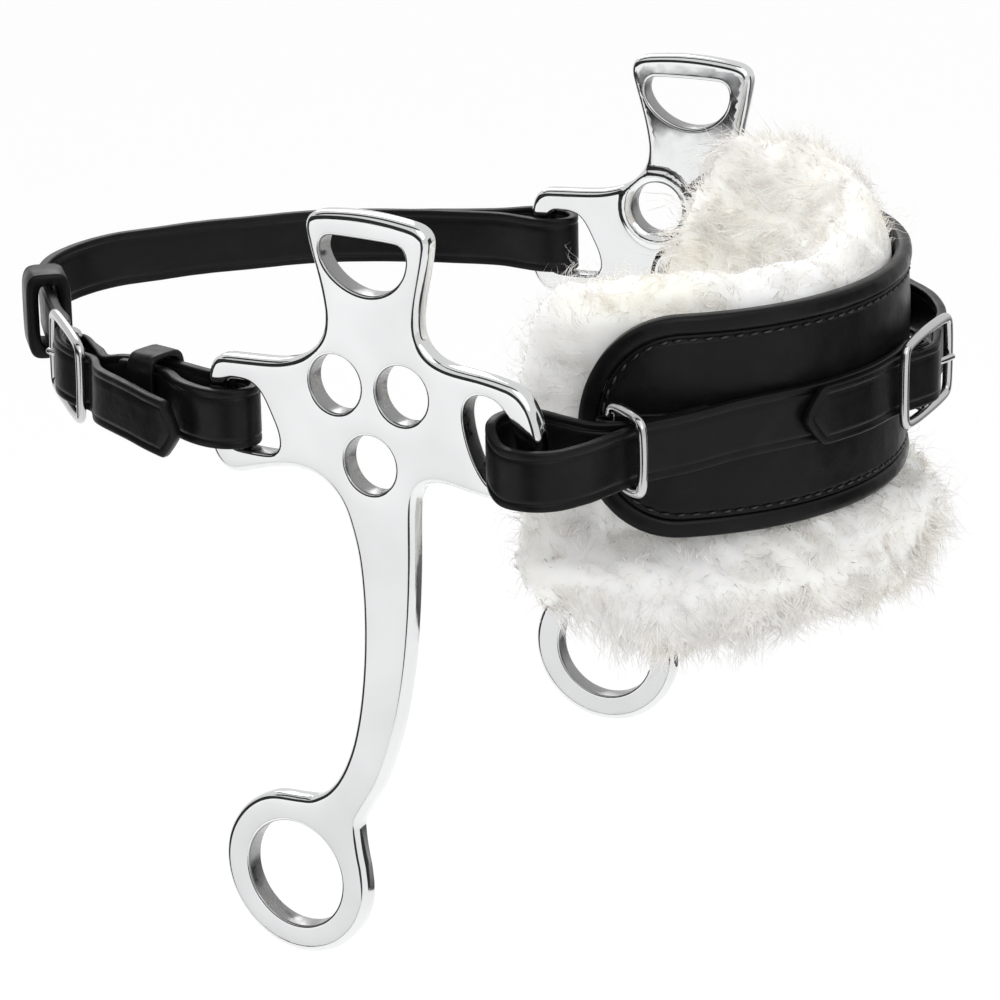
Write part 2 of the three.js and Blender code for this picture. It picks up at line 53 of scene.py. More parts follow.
# name: place, target, size and power of a square light, in metres and watts
AREA_LIGHTS = {
    "key": ((-1.1, -1.2, 1.0), (0, 0, 0), 0.6, 2.5),
    "rim": ((1.1, 0.9, 0.9), (0, 0, 0), 0.8, 5),
    "inner": ((-0.55, 0.75, 0.75), (0.05, -0.05, 0.02), 0.5, 5),
}

# name: centre, size, what it faces, and its glow at one end and at the other, in metres
CARDS = {
    "face_card": ((-0.80, 0.44, -0.34), (0.94, 0.62), (-0.05, 0, 0), 0.86, 1.18),
    "dark_behind": ((-1.12, 0.74, -0.46), (5.2, 3.4), (-0.05, 0, 0), 0.012, 0.012),
    "dark_front": ((0.9, -1.5, -0.2), (1.0, 1.3), (0, 0, 0), 0.02, 0.02),
    "dark_far": ((1.5, -0.8, -0.45), (1.2, 0.9), (0, 0, 0), 0.03, 0.7),
    "dark_above": ((-0.2, 0.5, 1.3), (0.45, 2.0), (0, 0, 0), 0.03, 0.03),
}

FLOOR = {"size": 30, "z": -0.95, "color": (0.93, 0.93, 0.93), "glow": 0.12}
SUN = {"energy": 0.45, "spread": math.radians(60), "tilt": (math.radians(28), math.radians(-22), 0)}
WORLD_STRENGTH = 0.82


def make_camera():
    place = Vector(CAMERA["place"]) * MM
    target = Vector(CAMERA["target"]) * MM
    forward = (target - place).normalized()
    side = forward.cross(Vector((0, 0, 1))).normalized()
    up = side.cross(forward)
    roll = CAMERA["roll"]
    right = side * math.cos(roll) + up * math.sin(roll)
    over = up * math.cos(roll) - side * math.sin(roll)
    data = bpy.data.cameras.new("camera")
    data.lens = CAMERA["lens"]
    data.sensor_width = CAMERA["sensor"]
    data.clip_start = CAMERA["clip_start"]
    camera = bpy.data.objects.new("camera", data)
    turn = Matrix((right, over, -forward)).transposed().to_4x4()
    camera.matrix_world = Matrix.Translation(place) @ turn
    scene.collection.objects.link(camera)
    scene.camera = camera


def plain_material(name, color, rough=0.9, glow=0.0):
    m = bpy.data.materials.new(name)
    m.use_nodes = True
    b = m.node_tree.nodes["Principled BSDF"]
    b.inputs["Base Color"].default_value = (*color, 1)
    b.inputs["Roughness"].default_value = rough
    b.inputs["Emission Color"].default_value = (*color, 1)
    b.inputs["Emission Strength"].default_value = glow
    return m


def card(name, centre, size, facing, low, high):
    """A studio card that only polished surfaces see. It glows from low at one end to high at the other."""
    bpy.ops.mesh.primitive_plane_add(size=1)
    o = bpy.context.object
    o.name = name
    o.scale = (size[0], size[1], 1)
    o.location = centre
    o.rotation_mode = "QUATERNION"
    o.rotation_quaternion = (Vector(facing) - Vector(centre)).to_track_quat("Z", "Y")
    m = plain_material(name, (0, 0, 0), glow=1.0)
    tree = m.node_tree
    ramp = tree.nodes.new("ShaderNodeValToRGB")
    ramp.color_ramp.elements[0].color = (low, low, low, 1)
    ramp.color_ramp.elements[1].color = (high, high, high, 1)
    split = tree.nodes.new("ShaderNodeSeparateXYZ")
    tree.links.new(tree.nodes.new("ShaderNodeTexCoord").outputs["Generated"], split.inputs[0])
    tree.links.new(split.outputs["Y"], ramp.inputs["Fac"])
    tree.links.new(ramp.outputs["Color"], tree.nodes["Principled BSDF"].inputs["Emission Color"])
    o.data.materials.append(m)
    o.visible_camera = False
    o.visible_shadow = False
    o.visible_diffuse = False


def area_light(name, place, target, size, power):
    data = bpy.data.lights.new(name, "AREA")
    data.shape = "SQUARE"
    data.size = size
    data.energy = power
    o = bpy.data.objects.new(name, data)
    o.location = place
    o.rotation_mode = "QUATERNION"
    o.rotation_quaternion = (Vector(target) - Vector(place)).to_track_quat("-Z", "Y")
    scene.collection.objects.link(o)
    return o


def studio():
    world = bpy.data.worlds.new("studio")
    world.use_nodes = True
    world.node_tree.nodes["Background"].inputs["Color"].default_value = (1, 1, 1, 1)
    world.node_tree.nodes["Background"].inputs["Strength"].default_value = WORLD_STRENGTH
    scene.world = world
    scene.view_settings.view_transform = "Standard"
    bpy.ops.mesh.primitive_plane_add(size=FLOOR["size"], location=(0, 0, FLOOR["z"]))
    floor = bpy.context.object
    floor.name = "floor"
    floor.data.materials.append(plain_material("floor", FLOOR["color"], glow=FLOOR["glow"]))
    sun = bpy.data.lights.new("soft_sun", "SUN")
    sun.energy = SUN["energy"]
    sun.angle = SUN["spread"]
    o = bpy.data.objects.new("soft_sun", sun)
    o.rotation_euler = SUN["tilt"]
    scene.collection.objects.link(o)
    lights = {name: area_light(name, *numbers) for name, numbers in AREA_LIGHTS.items()}
    lights["inner"].visible_glossy = False
    for name, numbers in CARDS.items():
        card(name, *numbers)


make_camera()
studio()

# ------------------------------ shape helpers


def spline(points, per_span, closed=False):
    """Smooth curve through the points: a centripetal Catmull-Rom, as the solids use."""
    p = np.array(points, float)
    n = len(p)
    out = []
    for i in range(n if closed else n - 1):
        p1, p2 = p[i], p[(i + 1) % n]
        p0 = p[i - 1] if closed or i > 0 else 2 * p[0] - p[1]
        p3 = p[(i + 2) % n] if closed or i + 2 < n else 2 * p[-1] - p[-2]
        d0, d1, d2 = (max(np.linalg.norm(b - a), 1e-8) ** 0.5 for a, b in ((p0, p1), (p1, p2), (p2, p3)))
        m1 = ((p1 - p0) / d0 - (p2 - p0) / (d0 + d1) + (p2 - p1) / d1) * d1
        m2 = ((p2 - p1) / d1 - (p3 - p1) / (d1 + d2) + (p3 - p2) / d2) * d1
        for k in range(per_span):
            w = k / per_span
            bend = (3 * (p2 - p1) - 2 * m1 - m2) * w * w
            out.append(p1 + m1 * w + bend + (2 * (p1 - p2) + m1 + m2) * w ** 3)
    if not closed:
        out.append(p[-1])
    return np.array(out)


def resample(path, step, closed=False):
    """The same path with points at equal distances."""
    p = np.vstack([path, path[:1]]) if closed else path
    run = np.concatenate([[0], np.cumsum(np.linalg.norm(np.diff(p, axis=0), axis=1))])
    count = max(3, int(round(run[-1] / step)))
    at = np.linspace(0, run[-1], count + 1)
    out = np.stack([np.interp(at, run, p[:, k]) for k in range(p.shape[1])], axis=1)
    return out[:-1] if closed else out


def build(name, verts, faces, material, body, nodes=()):
    """Makes a piece from points in millimetres, in place of the named CAD nodes, riding on a body."""
    mesh = bpy.data.meshes.new(name)
    corners = [tuple(int(i) for i in f) for f in faces]
    mesh.from_pydata((np.asarray(verts, float) * MM).tolist(), [], corners)
    mesh.materials.append(material)
    bm = bmesh.new()
    bm.from_mesh(mesh)
    bmesh.ops.recalc_face_normals(bm, faces=bm.faces)
    bm.to_mesh(mesh)
    bm.free()
    mesh.polygons.foreach_set("use_smooth", [True] * len(mesh.polygons))
    o = bpy.data.objects.new(name, mesh)
    scene.collection.objects.link(o)
    if nodes:
        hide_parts(*nodes)
    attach(o, body)
    return o


def skin(rings, closed=False):
    """Points and faces of a tube through rings of points, with ends capped unless it closes on itself."""
    count = len(rings[0])
    verts = np.concatenate(rings)
    faces = []
    for i in range(len(rings) if closed else len(rings) - 1):
        a, b = i * count, ((i + 1) % len(rings)) * count
        for j in range(count):
            k = (j + 1) % count
            faces.append((a + j, a + k, b + k, b + j))
    if not closed:
        last = (len(rings) - 1) * count
        faces.append(tuple(range(count)))
        faces.append(tuple(range(last, last + count)))
    return verts, faces


def merge(parts):
    """Several (points, faces) as one."""
    verts, faces, base = [], [], 0
    for v, f in parts:
        verts.append(np.asarray(v, float))
        faces.extend(tuple(i + base for i in face) for face in f)
        base += len(v)
    return np.concatenate(verts), faces


def unit(rows):
    return rows / np.linalg.norm(rows, axis=1)[:, None]


def tangents(path, closed=False):
    return unit(np.roll(path, -1, 0) - np.roll(path, 1, 0) if closed else np.gradient(path, axis=0))


def tube(path, radius, closed=False, sides=14, up=(0, 0, 1), squash=1.0):
    """Round wire along a path. radius is a number or one per point."""
    t = tangents(path, closed)
    across = unit(np.cross(np.array(up, float), t))
    over = np.cross(t, across)
    r = np.broadcast_to(radius, len(path))
    a = np.linspace(0, 2 * math.pi, sides, endpoint=False)
    rings = [
        path[i] + r[i] * (np.outer(np.cos(a), across[i]) + squash * np.outer(np.sin(a), over[i]))
        for i in range(len(path))
    ]
    return skin(rings, closed)


def smooth_noise(p, scale, seed):
    """Soft repeatable noise from -1 to 1 at each point of p."""
    r = np.random.RandomState(seed)
    total = np.zeros(len(p))
    for octave in range(3):
        for _ in range(4):
            d = r.normal(size=p.shape[1])
            d *= (2 ** octave) * r.uniform(0.7, 1.3) / (np.linalg.norm(d) * scale)
            total += np.sin(p @ d * 2 * math.pi + r.uniform(0, 6.3)) * 0.5 ** octave
    return total / 4


# ------------------------------ flat plates with a shaped face


def loops_through(node, point, normal):
    """Closed loops where a plane cuts a CAD node, in millimetres."""
    bm = bmesh.new()
    bm.from_mesh(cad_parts[node].data)
    bmesh.ops.remove_doubles(bm, verts=bm.verts, dist=1e-6)
    geom = bm.verts[:] + bm.edges[:] + bm.faces[:]
    plane = {"plane_co": Vector(point) * MM, "plane_no": Vector(normal)}
    cut = bmesh.ops.bisect_plane(bm, geom=geom, dist=1e-7, **plane)
    edges = [e for e in cut["geom_cut"] if isinstance(e, bmesh.types.BMEdge)]
    near = {}
    for e in edges:
        for v, w in (e.verts, reversed(e.verts)):
            near.setdefault(v, []).append(w)
    loops, seen = [], set()
    for start in near:
        if start in seen:
            continue
        loop, here, before = [], start, None
        while here is not None and here not in seen:
            seen.add(here)
            loop.append(np.array(here.co) / MM)
            here, before = next((w for w in near[here] if w is not before and w not in seen), None), here
        if len(loop) > 5:
            loops.append(np.array(loop))
    bm.free()
    return loops


def tidy_loop(loop, step):
    """A 2-D loop without its in-line points, smoothed and evenly spaced. A circle comes out true."""
    centre = loop.mean(0)
    r = np.linalg.norm(loop - centre, axis=1)
    if r.max() - r.min() < 0.02 * r.mean() + 0.05 and len(loop) > 20:
        a = np.linspace(0, 2 * math.pi, max(48, int(2 * math.pi * r.max() / step)), endpoint=False)
        return centre + r.max() * np.stack([np.cos(a), np.sin(a)], 1)
    keep = []
    for i in range(len(loop)):
        a, b, c = loop[i - 1], loop[i], loop[(i + 1) % len(loop)]
        ab, ac = b - a, c - a
        if abs(ab[0] * ac[1] - ab[1] * ac[0]) / (np.linalg.norm(ac) + 1e-9) > 0.012:
            keep.append(b)
    return resample(spline(keep, 12, closed=True), step, closed=True)


def inside(p, loops):
    """Which points lie inside the outline and outside its openings."""
    odd = np.zeros(len(p), bool)
    for loop in loops:
        a, b = loop, np.roll(loop, -1, 0)
        for i in range(0, len(p), 4000):
            q = p[i:i + 4000, None]
            above = (a[None, :, 1] > q[..., 1]) != (b[None, :, 1] > q[..., 1])
            cross = (b[:, 0] - a[:, 0]) * (q[..., 1] - a[:, 1]) / (b[:, 1] - a[:, 1] + 1e-12) + a[:, 0]
            odd[i:i + 4000] ^= (np.count_nonzero(above & (q[..., 0] < cross), axis=1) % 2).astype(bool)
    return odd


def distance(p, loops):
    """How far each point is from the nearest of the loops."""
    best = np.full(len(p), 1e9)
    for loop in loops:
        a = loop
        ab = np.roll(loop, -1, 0) - loop
        length = (ab ** 2).sum(1) + 1e-12
        for i in range(0, len(p), 2000):
            ap = p[i:i + 2000, None] - a[None]
            t = np.clip((ap * ab).sum(2) / length, 0, 1)
            d = np.linalg.norm(ap - t[..., None] * ab, axis=2).min(1)
            best[i:i + 2000] = np.minimum(best[i:i + 2000], d)
    return best


def inset(loop, amount, loops):
    """The loop moved into the solid by amount."""
    t = tangents(loop, closed=True)
    n = np.stack([-t[:, 1], t[:, 0]], 1)
    probe = inside((loop + 0.2 * n)[::7], loops)
    return loop + (amount if probe.mean() > 0.5 else -amount) * n


def relief(loops, spacing, rows, top, bottom, place):
    """A closed solid over a flat outline. top and bottom give the two faces' heights from the distance to
    the edge and the flat position, and place turns flat position and height into space."""
    flat = list(loops)
    for amount in rows:
        for loop in loops:
            moved = inset(loop, amount, loops)
            flat.append(moved[distance(moved, loops) > 0.8 * amount])
    edge_points = np.concatenate(flat)
    low, high = loops[0].min(0), loops[0].max(0)
    xs = np.arange(low[0], high[0], spacing)
    ys = np.arange(low[1], high[1], spacing * 0.866)
    grid = np.array([(x + (j % 2) * spacing / 2, y) for j, y in enumerate(ys) for x in xs])
    grid = grid[inside(grid, loops)]
    grid = grid[distance(grid, loops) > max(rows) + 0.5 * spacing]
    points = np.concatenate([edge_points, grid])
    edges, base = [], 0
    for loop in loops:
        edges += [(base + i, base + (i + 1) % len(loop)) for i in range(len(loop))]
        base += len(loop)
    out = delaunay_2d_cdt([Vector(p) for p in points], edges, [], 0, 1e-5)
    flat = np.array([tuple(v) for v in out[0]])
    tris = np.array(out[2])
    tris = tris[inside(flat[tris].mean(1), loops)]
    used = np.unique(tris)
    index = np.full(len(flat), -1)
    index[used] = np.arange(len(used))
    flat, tris = flat[used], index[tris]
    d = distance(flat, loops)
    d[d < 1e-3] = 0
    count = len(flat)
    verts = np.concatenate([place(flat, top(d, flat)), place(flat, bottom(d, flat))])
    sides = {(t[k], t[(k + 1) % 3]): True for t in tris for k in range(3)}
    walls = [(a, b, b + count, a + count) for a, b in sides if (b, a) not in sides]
    faces = [tuple(t) for t in tris] + [tuple(t[::-1] + count) for t in tris] + walls
    return verts, faces


def rounding(d, r):
    """How far a rounded edge of radius r drops at distance d in from the edge."""
    x = np.clip(d / r, 0, 1)
    return r * (1 - np.sqrt(np.clip(1 - (1 - x) ** 2, 0, 1)))


def bump(x, half):
    """A smooth hump: 1 at 0 and 0 beyond half."""
    return np.where(np.abs(x) < half, np.cos(np.clip(x / half, -1, 1) * math.pi / 2) ** 2, 0)


def ease(x, low, high):
    """Smooth step from 0 at low to 1 at high."""
    t = np.clip((x - low) / (high - low), 0, 1)
    return t * t * (3 - 2 * t)


# ------------------------------ materials


class Look:
    """A Principled material with a few procedural helpers."""

    def __init__(self, name, color, rough, metal=0.0):
        self.material = bpy.data.materials.new(name)
        self.material.use_nodes = True
        self.tree = self.material.node_tree
        self.shader = self.tree.nodes["Principled BSDF"]
        self.put("Base Color", (*color, 1))
        self.put("Roughness", rough)
        self.put("Metallic", metal)
        self.where = self.tree.nodes.new("ShaderNodeTexCoord").outputs["Object"]
        self.normal = None

    def put(self, name, value):
        self.shader.inputs[name].default_value = value

    def node(self, kind, **inputs):
        n = self.tree.nodes.new(kind)
        for key, value in inputs.items():
            socket = n.inputs[key.replace("_", " ")]
            if hasattr(value, "is_output"):
                self.tree.links.new(value, socket)
            else:
                socket.default_value = value
        return n

    def noise(self, scale, detail=3.0, rough=0.5, stretch=None):
        where = self.where
        if stretch:
            mapping = self.node("ShaderNodeMapping", Vector=where, Scale=stretch)
            where = mapping.outputs["Vector"]
        n = self.node("ShaderNodeTexNoise", Vector=where, Scale=scale, Detail=detail, Roughness=rough)
        return n.outputs["Fac"]

    def cells(self, scale):
        n = self.tree.nodes.new("ShaderNodeTexVoronoi")
        n.feature = "DISTANCE_TO_EDGE"
        self.tree.links.new(self.where, n.inputs["Vector"])
        n.inputs["Scale"].default_value = scale
        return n.outputs["Distance"]

    def ramp(self, value, low, high, to_low=0.0, to_high=1.0):
        n = self.node("ShaderNodeMapRange", Value=value)
        n.inputs["From Min"].default_value = low
        n.inputs["From Max"].default_value = high
        n.inputs["To Min"].default_value = to_low
        n.inputs["To Max"].default_value = to_high
        return n.outputs["Result"]

    def mix(self, value, a, b):
        n = self.tree.nodes.new("ShaderNodeMix")
        n.data_type = "RGBA"
        self.tree.links.new(value, n.inputs["Factor"])
        for socket, color in (("A", a), ("B", b)):
            target = [i for i in n.inputs if i.name == socket and i.type == "RGBA"][0]
            if hasattr(color, "is_output"):
                self.tree.links.new(color, target)
            else:
                target.default_value = (*color, 1)
        return [o for o in n.outputs if o.type == "RGBA"][0]

    def color(self, output):
        self.tree.links.new(output, self.shader.inputs["Base Color"])

    def rough(self, output):
        self.tree.links.new(output, self.shader.inputs["Roughness"])

    def bump(self, height, strength, depth):
        n = self.node("ShaderNodeBump", Height=height, Strength=strength)
        n.inputs["Distance"].default_value = depth * MM
        if self.normal is not None:
            self.tree.links.new(self.normal, n.inputs["Normal"])
        self.normal = n.outputs["Normal"]
        self.tree.links.new(self.normal, self.shader.inputs["Normal"])


def steel_look(name, base, rough):
    """Polished steel with faint waves, fine lines and wiped patches."""
    look = Look(name, base, rough, 1.0)
    wear = look.noise(260, 4)
    look.color(look.mix(look.ramp(look.noise(40, 2), 0.35, 0.65), tuple(0.93 * c for c in base), base))
    look.rough(look.ramp(wear, 0.35, 0.75, rough * 0.7, rough * 1.7))
    look.bump(look.noise(70, 2), 0.10, 0.05)
    look.bump(look.noise(1500, 3, stretch=(1, 1, 0.15)), 0.05, 0.01)
    return look.material


LEATHER_BLACK = (0.0042, 0.0040, 0.0044)


def leather_look(name, grain, rough, pores=0.35):
    """Black leather: pores, grain, lighter patches that are painted sheen, and places that are rougher."""
    look = Look(name, LEATHER_BLACK, rough)
    # painted sheen: soft patches where the leather's colour is lighter
    sheen_tint = tuple(1.8 * c + 0.0015 for c in LEATHER_BLACK)
    patch = look.ramp(look.noise(55, 5, 0.65), 0.48, 0.78)
    look.color(look.mix(patch, LEATHER_BLACK, sheen_tint))
    look.rough(look.ramp(look.noise(180, 4), 0.3, 0.75, rough * 0.82, rough * 1.25))
    look.put("Specular IOR Level", 0.16)
    look.bump(look.cells(grain), pores, 0.10)
    look.bump(look.noise(grain * 0.33, 4, 0.6), 0.35, 0.22)
    look.bump(look.noise(70, 3), 0.25, 0.5)
    return look.material


def thread_look():
    """Waxed black thread with its twist."""
    look = Look("stitch_thread", (0.014, 0.013, 0.013), 0.42)
    twist = look.ramp(look.noise(900, 2), 0.4, 0.7)
    look.color(look.mix(twist, (0.010, 0.010, 0.010), (0.032, 0.030, 0.029)))
    look.bump(look.noise(2600, 2), 0.5, 0.1)
    return look.material


def wool_look(name, bright, shade, depth):
    """White wool. Light goes depth millimetres into it, so it is soft and has no hard shade."""
    look = Look(name, bright, 1.0)
    tone = look.ramp(look.noise(60, 3, 0.6), 0.36, 0.62)
    cream = tuple(b * k for b, k in zip(bright, (1.0, 0.965, 0.90)))
    warm = look.mix(look.ramp(look.noise(24, 2), 0.42, 0.66), bright, cream)
    look.color(look.mix(tone, shade, warm))
    look.put("Subsurface Weight", 1.0 if depth else 0.0)
    look.put("Subsurface Radius", (0.9, 0.85, 0.8))
    look.put("Subsurface Scale", depth * MM)
    look.put("Specular IOR Level", 0.0)
    look.put("Sheen Weight", 0.15)
    look.put("Sheen Roughness", 0.7)
    look.bump(look.noise(420, 5, 0.7), 0.45, 0.6)
    return look.material


PLATE_STEEL = steel_look("plate_steel", (0.80, 0.805, 0.81), 0.075)
# painted shade: a much darker steel colour for the walls of the plates' openings
BORE_SHADE_STEEL = steel_look("bore_painted_shade_steel", (0.33, 0.33, 0.335), 0.26)
WIRE_STEEL = steel_look("wire_steel", (0.60, 0.60, 0.605), 0.14)
PAD_LEATHER = leather_look("pad_leather", 900, 0.38)
STRAP_LEATHER = leather_look("strap_leather", 1500, 0.34, pores=0.2)
WELT_LEATHER = leather_look("welt_leather", 1300, 0.32, pores=0.2)
THREAD = thread_look()
WOOL = wool_look("fleece", (0.97, 0.952, 0.925), (0.94, 0.915, 0.88), 5)
WISP = wool_look("fleece_pile", (0.985, 0.972, 0.952), (0.95, 0.935, 0.91), 0)

# ------------------------------ cheek plates

PLATE = {
    "half_gap": 91.3, "toe": math.radians(3.9), "half": 3.0, "round": 1.9, "bore_round": 0.7,
    "collar": 1.05, "pillow": 0.22,
}
BOLT_HOLE_RADIUS = 10  # the round holes smaller than this have a raised collar on the inner face
PLATE_ROWS = (0.08, 0.28, 0.6, 1.0, 1.45, 1.95)


def cheek_plate(name, side):
    """side is -1 at the right and 1 at the left. Flat position is (rearward, up); height is outward."""
    c, s = math.cos(PLATE["toe"]), math.sin(PLATE["toe"])
    out = np.array((side * c, s, 0.0))
    rear = np.array((-side * s, c, 0.0))
    middle = np.array((side * PLATE["half_gap"], 0.0, 0.0))
    loops = []
    for loop in loops_through(name, middle, out):
        flat = np.stack([(loop - middle) @ rear, loop[:, 2]], 1)
        loops.append(tidy_loop(flat, 0.8))
    loops.sort(key=lambda p: -np.ptp(p[:, 1]))
    circles = [p for p in loops[1:] if np.ptp(np.linalg.norm(p - p.mean(0), axis=1)) < 0.05]
    small = [(p.mean(0), np.linalg.norm(p - p.mean(0), axis=1).mean()) for p in circles]
    small = [(m, r) for m, r in small if r < BOLT_HOLE_RADIUS]

    def edge(d, p):
        return rounding(d, np.where(distance(p, loops[:1]) < d + 0.01, PLATE["round"], PLATE["bore_round"]))

    def top(d, p):
        pillow = PLATE["pillow"] * np.clip(1 - d / 4.5, 0, 1) ** 2
        return PLATE["half"] - edge(d, p) - pillow

    def bottom(d, p):
        collar = np.zeros(len(p))
        for m, r in small:
            away = np.linalg.norm(p - m, axis=1) - r
            collar = np.maximum(collar, bump(away - 2.3, 2.3))
        return -PLATE["half"] + edge(d, p) - PLATE["collar"] * collar

    def place(p, h):
        return middle + np.outer(p[:, 0], rear) + np.outer(h, out) + np.outer(p[:, 1], (0, 0, 1))

    verts, faces = relief(loops, 1.0, PLATE_ROWS, top, bottom, place)
    body = "right_cheek" if side < 0 else "left_cheek"
    plate = build(name + "_polished", verts, faces, PLATE_STEEL, body, [name])
    # the walls of the openings get a darker, rougher steel: the darker colour is painted shade in the holes
    plate.data.materials.append(BORE_SHADE_STEEL)
    centre = np.array([f.center for f in plate.data.polygons]) / MM - middle
    facing = np.abs(np.array([f.normal for f in plate.data.polygons]) @ out)
    near = distance(np.stack([centre @ rear, centre[:, 2]], 1), loops[1:]) < 0.5
    plate.data.polygons.foreach_set("material_index", ((facing < 0.75) & near).astype(int))


cheek_plate("right_cheek_plate", -1)
cheek_plate("left_cheek_plate", 1)

# ------------------------------ sizes shared with the solids, in mm

PAD = {"y": -28.0, "radius": 71.0, "top": 25.5, "bottom": -32.4, "corner": 24.0, "half": 76.0}
NOSE_WIDTH = 15.2
CURB_WIDTH = 15.6
TAB_WIDTH = 12
# length and height of the holes in the straps
PRONG_HOLE = (7.4, 4)
CHAPE_SLOT = (7.8, 3.8)
SPARE_HOLE = (3, 3)
STRAP_GAUGE = 2.6
SKIVED = 1.5
Z_PAD, Z_RING, Z_SLOT, Z_CURB = -3.0, -4.9, -1.5, -5.0
NOSE = {
    "x": 11, "y": -104.8, "z": -3.2, "angle": math.radians(2.7), "side": 1, "half": 16, "slope": 0.0,
    "billet": -2.2,
    "under": [(-4.5, -4.6, 1.6), (-9, -4.4, 2), (-16, -4.9, 2.3)],
}
CURB = {
    "x": -71.5, "y": 104.5, "z": -6.2, "angle": math.radians(48.2), "side": -1, "half": 13.6, "slope": 0.1,
    "billet": -2.7,
    "under": [(-4.5, -5.3, 1.8), (-9, -5.8, 2.6), (-14, -6.1, 2.6)],
}


def on_pad(degrees, radius):
    """A place round the pad's own centre, with 0 degrees at the front of the nose."""
    a = math.radians(degrees)
    return radius * math.sin(a), PAD["y"] - radius * math.cos(a)


def at_buckle(b, s, h):
    """A place s along a buckle from its middle and h out from it."""
    c, n = math.cos(b["angle"]), math.sin(b["angle"])
    return b["x"] + s * c + b["side"] * h * n, b["y"] + s * n - b["side"] * h * c


def mirrored(path):
    return [(-x, *rest) for x, *rest in path]


# ------------------------------ straps

STRAP_ROUND = 0.55
CREASE = {"from_edge": 2.1, "half": 0.5}
STRAP_ROWS = (0.12, 0.3, 0.6, 1.55, 1.85, 2.1, 2.35, 2.65)


def strap_outline(long, width, tip):
    """Outline of a strap laid flat: distance along it, and height. A tip is pointed with a soft end."""
    h = width / 2
    end = [(long - 0.5, -h), (long, -h + 0.5), (long, h - 0.5), (long - 0.5, h)]
    start = [(0.5, h), (0, h - 0.5), (0, -h + 0.5), (0.5, -h)]
    if tip:
        shares = ((1, 1), (0.9, 0.99), (0.8, 0.93), (0.45, 0.6), (0.14, 0.27), (0.03, 0.13), (0, 0.04))
        bow = [(tip * k, h * u) for k, u in shares]
        start = bow + [(k, -u) for k, u in reversed(bow)]
    return resample(np.array(end + start, float), 1.0, closed=True)


def oblong(s, u, length, height):
    """A hole with round ends, laid flat at s along the strap and u up it."""
    r = height / 2
    a = np.linspace(0, 2 * math.pi, 20, endpoint=False)
    x = r * np.cos(a) + np.sign(np.cos(a) + 1e-9) * max(0.0, length / 2 - r)
    return np.stack([s + x, u + r * np.sin(a)], 1)


def strap(name, controls, width, body, node, tip=0.0, lean_angle=0.0, material=None,
          groove=0.3, holes=(), outer=1, wave=0.12):
    """A leather strap on edge with rounded edges, a creased line along each side and real holes.
    Each control is x, y, z, then a thickness and a slope if they differ. Each hole is its (x, y),
    which is moved to the nearest place on the strap, and its (length, height)."""
    full = [(*c[:3], c[3] if len(c) > 3 else STRAP_GAUGE, c[4] if len(c) > 4 else 0.0) for c in controls]
    centre = spline([c[:3] for c in full], 10)
    at = np.linspace(0, len(full) - 1, len(centre))
    gauge = np.interp(at, range(len(full)), [c[3] for c in full])
    lean = np.interp(at, range(len(full)), [c[4] for c in full])
    path = resample(np.column_stack([centre, gauge, lean]), 0.5)
    run = np.r_[0, np.linalg.norm(np.diff(path[:, :3], axis=0), axis=1).cumsum()]
    t = tangents(path[:, :2])
    side = np.stack([-t[:, 1], t[:, 0]], 1) * outer
    ripple = wave * smooth_noise(path[:, :3], 26, len(name))
    outline = strap_outline(run[-1], width, tip)
    cuts = []
    for (x, y), (length, height) in holes:
        k = int(np.argmin(np.hypot(path[:, 0] - x, path[:, 1] - y)))
        cuts.append(oblong(run[k], 0, length, height))

    def column(values, s):
        return np.interp(s, run, values)

    def top(d, p):
        g = column(path[:, 3], p[:, 0]) / 2
        edge = distance(p, [outline])
        crease = groove * bump(edge - CREASE["from_edge"], CREASE["half"])
        crease = crease * np.clip((p[:, 0] - tip * 0.2) / 3, 0, 1)
        swell = 0.10 * bump(d - 0.9, 0.9) if cuts else 0
        return g - rounding(d, STRAP_ROUND) - crease + swell * (d < edge - 0.01)

    def bottom(d, p):
        crease = groove * bump(distance(p, [outline]) - CREASE["from_edge"], CREASE["half"])
        return -column(path[:, 3], p[:, 0]) / 2 + rounding(d, STRAP_ROUND) + crease

    def place(p, h):
        s = p[:, 0]
        m = column(path[:, 4], s)
        up = p[:, 1]
        x = column(path[:, 0], s) + column(side[:, 0], s) * h - m * math.cos(lean_angle) * up
        y = column(path[:, 1], s) + column(side[:, 1], s) * h - m * math.sin(lean_angle) * up
        z = column(path[:, 2] + ripple, s) + up
        return np.stack([x, y, z], 1)

    verts, faces = relief([outline, *cuts], 1.3, STRAP_ROWS, top, bottom, place)
    return build(name, verts, faces, material or STRAP_LEATHER, body, [node])


def apply_modifiers(o):
    """Turns a piece's modifiers into its own mesh."""
    bpy.context.view_layer.update()
    done = bpy.data.meshes.new_from_object(o.evaluated_get(bpy.context.evaluated_depsgraph_get()))
    o.modifiers.clear()
    o.data = done


def chape_turn(b):
    """The skived end that turns round the buckle's middle bar and back under itself."""
    turn = [(-8, -2), (-4, -0.8), (0, 0.15), (1.9, -0.6), (2.65, -2.4), (1.9, -4.2), (0, -5)]
    path = [(s, h, SKIVED) for s, h in turn] + b["under"]
    return [(*at_buckle(b, s, h), b["z"] + s * b["slope"], t, b["slope"]) for s, h, t in path]


def through_buckle(b):
    """The billet's way under the frame's ends and over its middle bar."""
    path = [(-b["half"], b["billet"], 2.2), (-8, 0.6, 2.4), (0, 2.5, 2.4), (7, 0.8, 2.4),
            (b["half"], -2.7, 2.4)]
    return [(*at_buckle(b, s, h), b["z"] + s * b["slope"], t, b["slope"]) for s, h, t in path]


